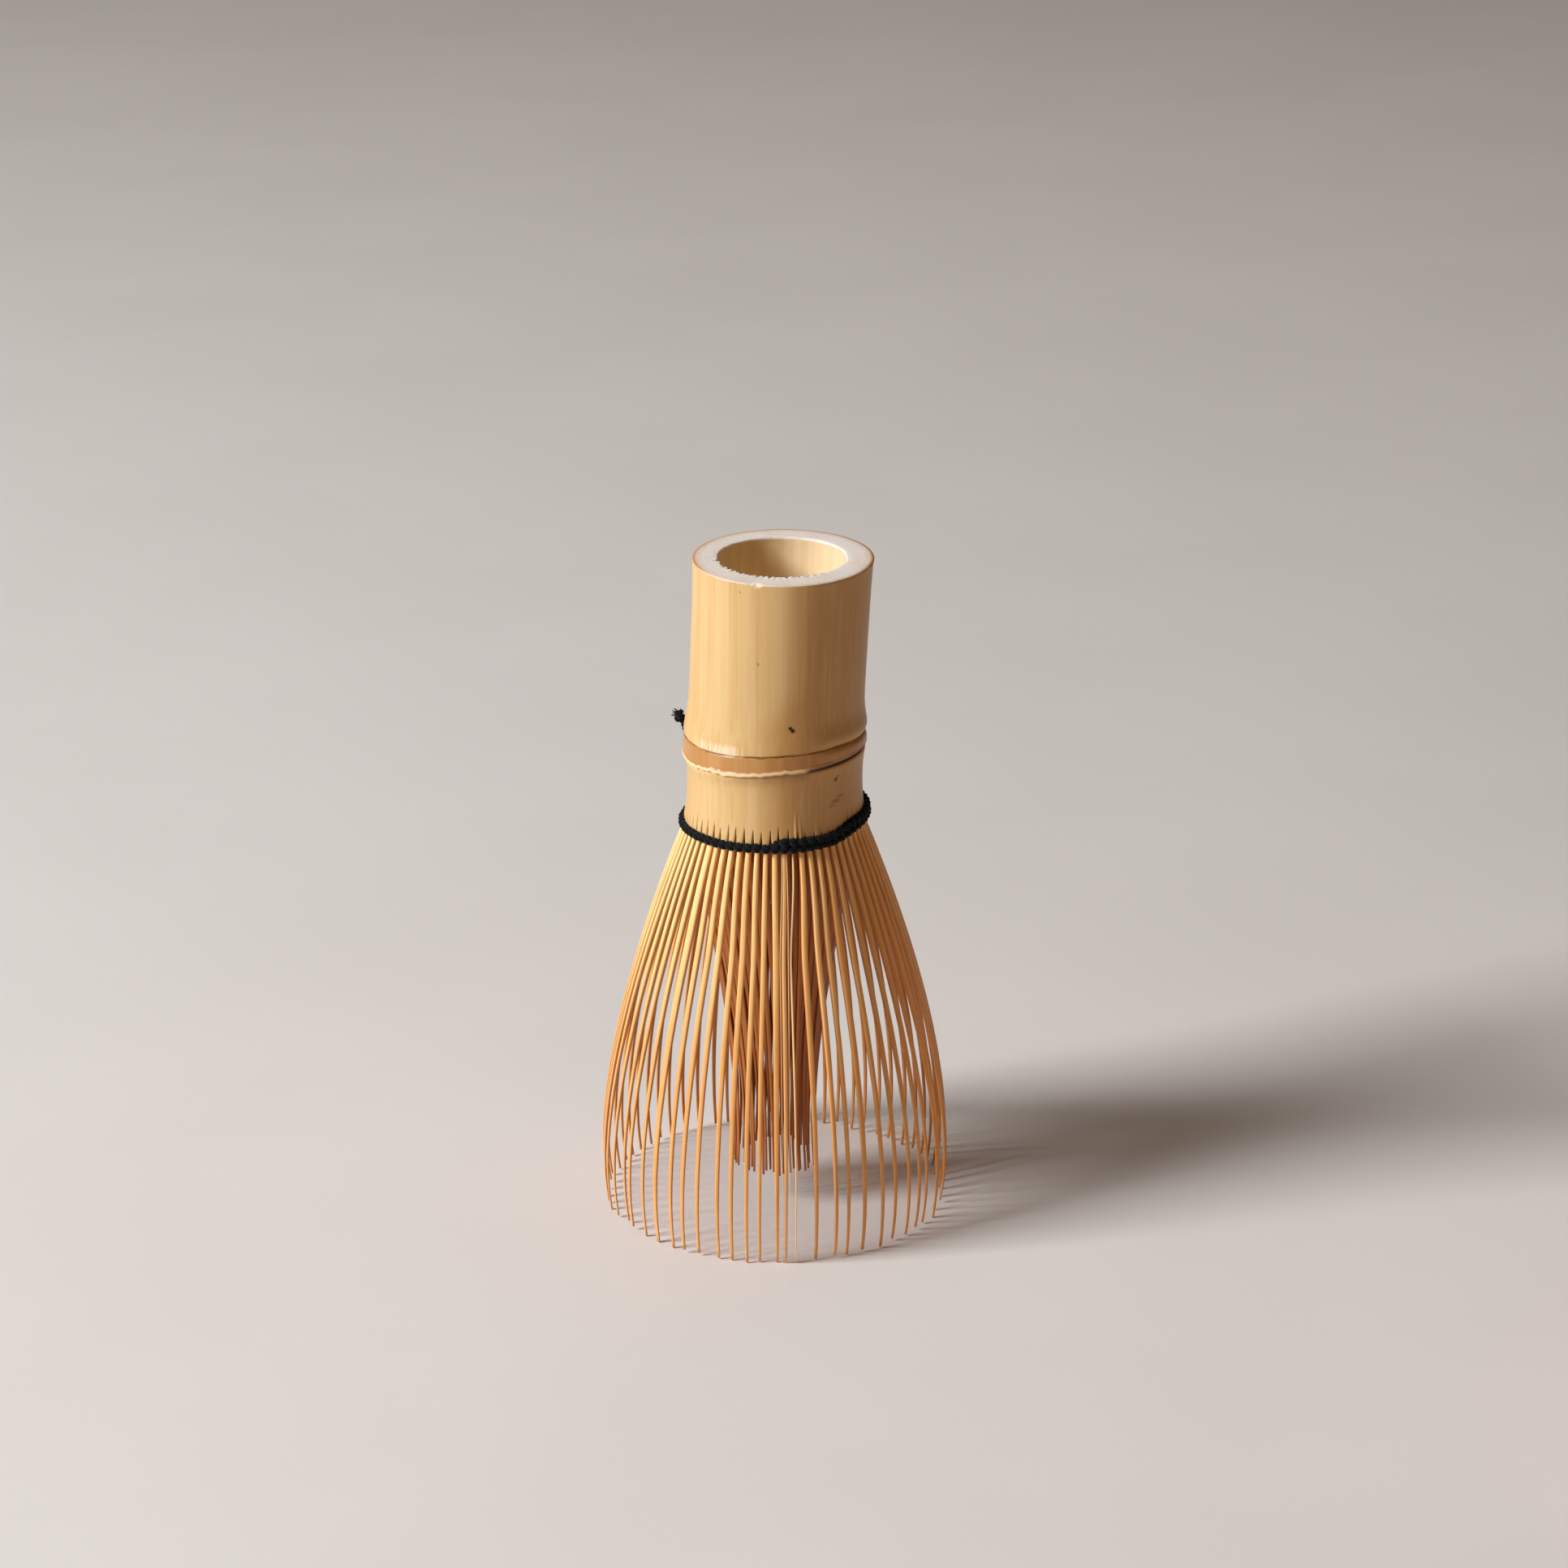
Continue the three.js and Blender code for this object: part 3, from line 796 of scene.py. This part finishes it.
def gatherBars(name, bars, look):
    # joins bars, each given with its tint, which holds painted shade for the outer tines, and paleness, into
    # one piece
    points, faces, grain, facts = [], [], [], []
    first = 0
    for number, (bar, sides, tintAndShade, pale) in enumerate(bars):
        barPoints, barGrain, flesh = bar
        count = len(barPoints)
        faces += tubeFaces(count // sides, sides, first)
        first += count
        points.append(barPoints)
        grain.append(barGrain + (3.7 * number, 0, 0))
        facts.append(np.stack([flesh, np.full(count, tintAndShade), np.full(count, pale)], axis=-1))
    piece = makePiece(name, np.concatenate(points), faces, [look])
    note(piece, "grain", np.concatenate(grain))
    note(piece, "tine", np.concatenate(facts))
    return piece


def bendAtThread(piece, body):
    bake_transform(piece)
    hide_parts(body)


def splitFibres(turn, path):
    # the slivers that have come away beside the split tine at the front
    slivers = [
        {"shift": -0.52, "width": 0.13, "sway": 0.03, "pale": 0.3, "out": 0.04},
        {"shift": 0.56, "width": 0.1, "sway": 0.1, "pale": 0.8, "out": 0.14},
    ]
    bars = []
    for sliver in slivers:
        line = path[1:].copy()
        along = np.linspace(0, 1, len(line))
        line[:, 0] += sliver["out"] * np.sin(along * 9)
        turns = turn[1:] + sliver["sway"] * np.sin(along * 7) / line[:, 0]
        shift = sliver["shift"] * (0.6 + 0.5 * soft(along, 0, 0.3))
        bar = tineBar(line, turns, outerTine, sliver["width"], shift[:, None], 0.55)
        bars.append((bar, len(outerTine["section"]), 0.4, sliver["pale"]))
    return bars


def makeOuterTines(look):
    dice = np.random.default_rng(71)
    sides = len(outerTine["section"])
    for group in range(16):
        bars = []
        for number in range(4 * group - 1, 4 * group + 3):
            turn = number * pitch + math.pi / 2
            fromFront = round(turn / pitch + 32) % tineCount - 32
            odd = oddTines.get(fromFront, {})
            path = outerPath(turn, dice.uniform(0, 0.7))
            share = np.clip(-path[:, 1] / outerTine["drop"], 0, 1)
            path[:, 0] += dice.uniform(-0.45, 0.45) * share * soft(share, 0, 0.4)
            plainLean = dice.uniform(-1, 1)
            plainWidth = dice.uniform(0.93, 1.07)
            # painted shade: the outer tines' tint turns browner on the side away from the window
            tintAndShade = 0.35 * dice.uniform(0, 1) + 0.32 + 0.33 * math.sin(turn)  # browner away from the window
            curl = dice.uniform(-1, 1)
            leaning = odd.get("lean", 0.55 * plainLean)
            turns = turn + np.radians(leaning * soft(share, 0, 0.28) + 0.5 * curl * share**2)
            width = odd.get("width", plainWidth)
            bars.append((tineBar(path, turns, outerTine, width), sides, tintAndShade, odd.get("pale", 0.0)))
            if fromFront == 1:
                bars += splitFibres(turns, path)
        body = f"outer_tines_{group + 1:02d}"
        piece = gatherBars(f"split_{body}", bars, look)
        bendAtThread(piece, body)


def makeInnerTines(look):
    dice = np.random.default_rng(72)
    sides = len(innerTine["section"])
    for group in range(16):
        bars = []
        for number in range(4 * group - 2, 4 * group + 2):
            turn = (number + 0.5) * pitch + math.pi / 2
            path = innerPath(dice.uniform(0, 1.2))
            share = np.clip(-path[:, 1] / innerTine["drop"], 0, 1)
            path[:, 0] += dice.uniform(-0.5, 0.5) * share
            wander = dice.uniform(-1.2, 1.2) * soft(share, 0.1, 0.6)
            turns = turn + np.radians(innerTine["swirl"] * share + wander)
            bar = tineBar(path, turns, innerTine, dice.uniform(0.9, 1.1))
            bars.append((bar, sides, dice.uniform(0, 1), 0.0))
        body = f"inner_tines_{group + 1:02d}"
        piece = gatherBars(f"split_{body}", bars, look)
        bendAtThread(piece, body)


def tineFinish(name, tones):
    look = Look(name)
    grain = look.noted("grain")
    flesh, tintAndShade, pale = look.split(look.noted("tine"))
    along = look.split(grain)[2]
    fibres = look.noise(grain, (7.0, 7.0, 0.12), 3, 0.6)
    streak = look.noise(grain, (2.2, 2.2, 0.05), 2)
    patch = look.noise(grain, (0.27, 0.3, 0.05), 2)
    # the tint, with painted shade in it for the outer tines, goes from the light tone to the deep one
    colour = look.mix(tintAndShade * 0.9 + streak * 0.4 - 0.2, tones["light"], tones["deep"])
    colour = look.mix(along.above(4.0, 40.0) * 0.75, colour, tones["tip"])
    colour = look.mix(fibres.above(0.5, 0.7) * 0.35, colour, tones["bright"])
    colour = look.mix(fibres.above(0.42, 0.28) * 0.4, colour, tones["dark"])
    colour = look.mix(flesh * 0.5, colour, tones["flesh"])
    colour = look.mix(patch.above(0.58, 0.75) * 0.3, colour, tones["dark"])
    dry = look.mix(fibres.above(0.35, 0.6), tones["fibre"], tones["light"])
    colour = look.mix(pale * 0.85, colour, dry)
    roughness = fibres * 0.25 + flesh * 0.12 + 0.3
    return look.finish({
        "Base Color": colour, "Roughness": roughness, "Normal": look.bump(fibres, 0.06, 0.6),
        "Specular IOR Level": 0.42, "Subsurface Weight": 0.06, "Subsurface Radius": (0.9, 0.45, 0.2),
        "Subsurface Scale": 0.0008,
    })


makeOuterTines(tineFinish("split_bamboo_outer", {
    "light": paint(255, 220, 150), "deep": paint(247, 163, 70), "tip": paint(229, 150, 68),
    "bright": paint(255, 230, 176), "dark": paint(170, 94, 34), "flesh": paint(184, 106, 40),
    "fibre": paint(238, 218, 186),
}))
# the inner tines take darker, more orange tones than the outer ones: painted shade for the tines inside the
# whisk
makeInnerTines(tineFinish("split_bamboo_inner_shaded", {
    "light": paint(196, 120, 50), "deep": paint(166, 90, 30), "tip": paint(184, 106, 42),
    "bright": paint(212, 144, 70), "dark": paint(110, 50, 14), "flesh": paint(140, 68, 20),
    "fibre": paint(240, 220, 190),
}))
print("tines made")


# binding thread

thread = {
    "radius": 14.05, "plyRadius": 0.37, "plyOffset": 0.32, "plies": 3, "twist": 2.3, "sides": 7, "step": 0.17,
    "endTurn": 241, "upperRise": 0.95, "beads": 0.17, "backRadius": 12.45, "backSize": 0.6, "passRadius": 0.2,
    # degrees round and rise of the tail, up over the node
    "tail": [(240.4, 1.6), (240.6, 3.2), (241, 5.6), (242.4, 8.6), (245.6, 11.6), (250, 13.8), (253.6, 15.0)],
}
knot = {"turn": 254, "size": 0.25, "radius": 0.34, "sides": 8, "wisps": 26, "wispRadius": 0.055}


def pliedStrand(centres, size=1.0):
    # plies twisted round the strand's own line
    ahead = np.gradient(centres, axis=0)
    lengths = np.linalg.norm(ahead, axis=1)
    ahead /= lengths[:, None]
    outward = centres * (1, 1, 0)
    outward /= np.linalg.norm(outward, axis=1, keepdims=True)
    outward -= ahead * (outward * ahead).sum(1, keepdims=True)
    outward /= np.linalg.norm(outward, axis=1, keepdims=True)
    over = np.cross(ahead, outward)
    # it swells over each tine
    size = size * (1 + thread["beads"] * np.cos(np.arctan2(centres[:, :1], -centres[:, 1:2]) * tineCount))
    spin = 2 * np.pi * np.cumsum(lengths) / thread["twist"]
    parts = []
    for ply in range(thread["plies"]):
        angle = (spin + 2 * np.pi * ply / thread["plies"])[:, None]
        line = centres + size * thread["plyOffset"] * (np.cos(angle) * outward + np.sin(angle) * over)
        parts.append((roundTube(line, size[:, 0] * thread["plyRadius"], thread["sides"]), len(line)))
    return parts


def evenly(points):
    # the same line with points an even step apart
    lengths = np.concatenate([[0], np.cumsum(np.linalg.norm(np.diff(points, axis=0), axis=1))])
    at = np.arange(0, lengths[-1], thread["step"])
    return np.stack([np.interp(at, lengths, points[:, axis]) for axis in range(3)], axis=-1)


def weave(turn):
    # out over each tine and in at each slit, more clearly on the left where the turn is single
    depth = 0.15 + 0.04 * soft(-np.sin(turn), -0.3, 0.5)
    return depth * (1 - 2 * np.abs(np.sin(turn / pitch * np.pi)) ** 1.5)


def lowerTurn():
    end = math.radians(thread["endTurn"])
    turn = np.linspace(end - 2 * np.pi, end, 1500)
    tuck = 1.1 * (bell(turn - turn[0], 0.05) + bell(turn - turn[-1], 0.05))
    radius = thread["radius"] + weave(turn) - tuck
    dip = 0.35 * bell(np.sin(turn / 2 - math.radians(135)), 0.35)
    rise = threadRise(turn) + 0.05 * waves(turn, 81, 3, 9) + 0.03 * waves(turn, 82, 20, 44) - dip
    return evenly(around(turn, radius, rise))


def upperTurnAndTail():
    # comes out between two tines at the front, runs round the right and the back, then up over the node
    end = math.radians(thread["endTurn"] - 3)
    turn = np.linspace(-0.08, end, 1100)
    out = soft(turn, -0.08, 0.08)
    radius = thread["radius"] - 0.03 + weave(turn) * 0.8 - 1.0 * (1 - out)
    lift = 0.15 + (thread["upperRise"] - 0.15) * out
    rise = threadRise(turn) + lift + 0.05 * waves(turn, 83, 3, 9) + 0.03 * waves(turn, 84, 20, 44)
    wound = around(turn, radius, rise)
    joinAt = -12  # how many points before the end the tail takes over
    route = [wound[joinAt], wound[-1]]
    for degrees, high in thread["tail"]:
        swollen = float(skinRadius(high) + 0.16 * bell(high - 15, 1.2))
        clear = swollen + 0.5 + 0.5 * float(soft(high, 12, 15))
        route.append(around(np.float64(math.radians(degrees)), clear, high))
    tail = curveThrough(np.array(route), 200)
    return evenly(np.concatenate([wound[:joinAt], tail])), np.array(route[-1])


def knotLine(centre):
    # a small overhand knot
    t = np.linspace(0, 2 * np.pi, 90)
    turn = math.radians(knot["turn"])
    outward = around(np.float64(turn), 1.0, 0.0)
    side = np.array([math.cos(turn), math.sin(turn), 0.0])
    first = np.sin(t) + 2 * np.sin(2 * t)
    second = np.cos(t) - 2 * np.cos(2 * t)
    line = np.outer(first, side) + np.outer(second, (0, 0, 1.0)) - np.outer(np.sin(3 * t) * 1.3, outward)
    return centre + outward * 0.15 + knot["size"] * line


def makeThread(look):
    parts = pliedStrand(lowerTurn())
    wound, top = upperTurnAndTail()
    parts += pliedStrand(wound)
    # the ring behind the outer tines
    turn = np.linspace(0, 2 * np.pi * 0.998, 900)
    radius = thread["backRadius"] + 0.04 * np.sin(turn / pitch * 2 * np.pi)
    back = around(turn, radius, 0.05 * waves(turn, 85, 4, 12) - 0.15)
    parts += pliedStrand(evenly(back), thread["backSize"])
    # the strand goes in and out between the tines
    for number in range(tineCount):
        angle = (number + 0.5) * pitch
        rise = float(threadRise(np.float64(angle)))
        reach = np.linspace(thread["backRadius"], thread["radius"] - 0.1, 7)
        line = around(np.full(7, angle), reach, np.linspace(-0.15, rise, 7))
        parts.append((roundTube(line, thread["passRadius"], 6), 7))
    # the knot, and the wisps that stand out of it
    tied = knotLine(top + (0, 0, 0.1))
    parts.append((roundTube(tied, knot["radius"], knot["sides"]), len(tied)))
    dice = np.random.default_rng(86)
    outward = around(np.float64(math.radians(knot["turn"])), 1.0, 0.0)
    for _ in range(knot["wisps"]):
        way = outward * dice.uniform(0.1, 1) + dice.uniform(-0.9, 0.9, 3) + (0, 0, 0.35)
        way *= dice.uniform(0.6, 1.5) / np.linalg.norm(way)
        curl = dice.uniform(-0.25, 0.25, 3)
        along = np.linspace(0, 1, 8)[:, None]
        line = tied.mean(0) + way * along + curl * along * (1 - along) * 2
        parts.append((roundTube(line, knot["wispRadius"], 5), 8))
    points, faces, first = [], [], 0
    for tube, count in parts:
        faces += tubeFaces(count, len(tube) // count, first)
        first += len(tube)
        points.append(tube)
    piece = makePiece("cotton_binding", np.concatenate(points), faces, [look])
    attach(piece, "handle")
    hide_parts("binding_thread")


def cottonFinish():
    look = Look("black_cotton")
    place = look.place()
    fluff = look.noise(place, (5200, 5200, 5200), 3, 0.65)
    cloud = look.noise(place, (900, 900, 900), 2)
    colour = look.mix(fluff.above(0.4, 0.75), paint(6, 6, 7), paint(17, 17, 19))
    colour = look.mix(cloud.above(0.6, 0.8) * 0.3, colour, paint(34, 30, 30))
    return look.finish({
        "Base Color": colour, "Roughness": fluff * 0.15 + 0.8, "Normal": look.bump(fluff, 0.08, 0.8),
        "Specular IOR Level": 0.2, "Sheen Weight": 0.08, "Sheen Roughness": 0.5,
    })


makeThread(cottonFinish())
print("thread made")
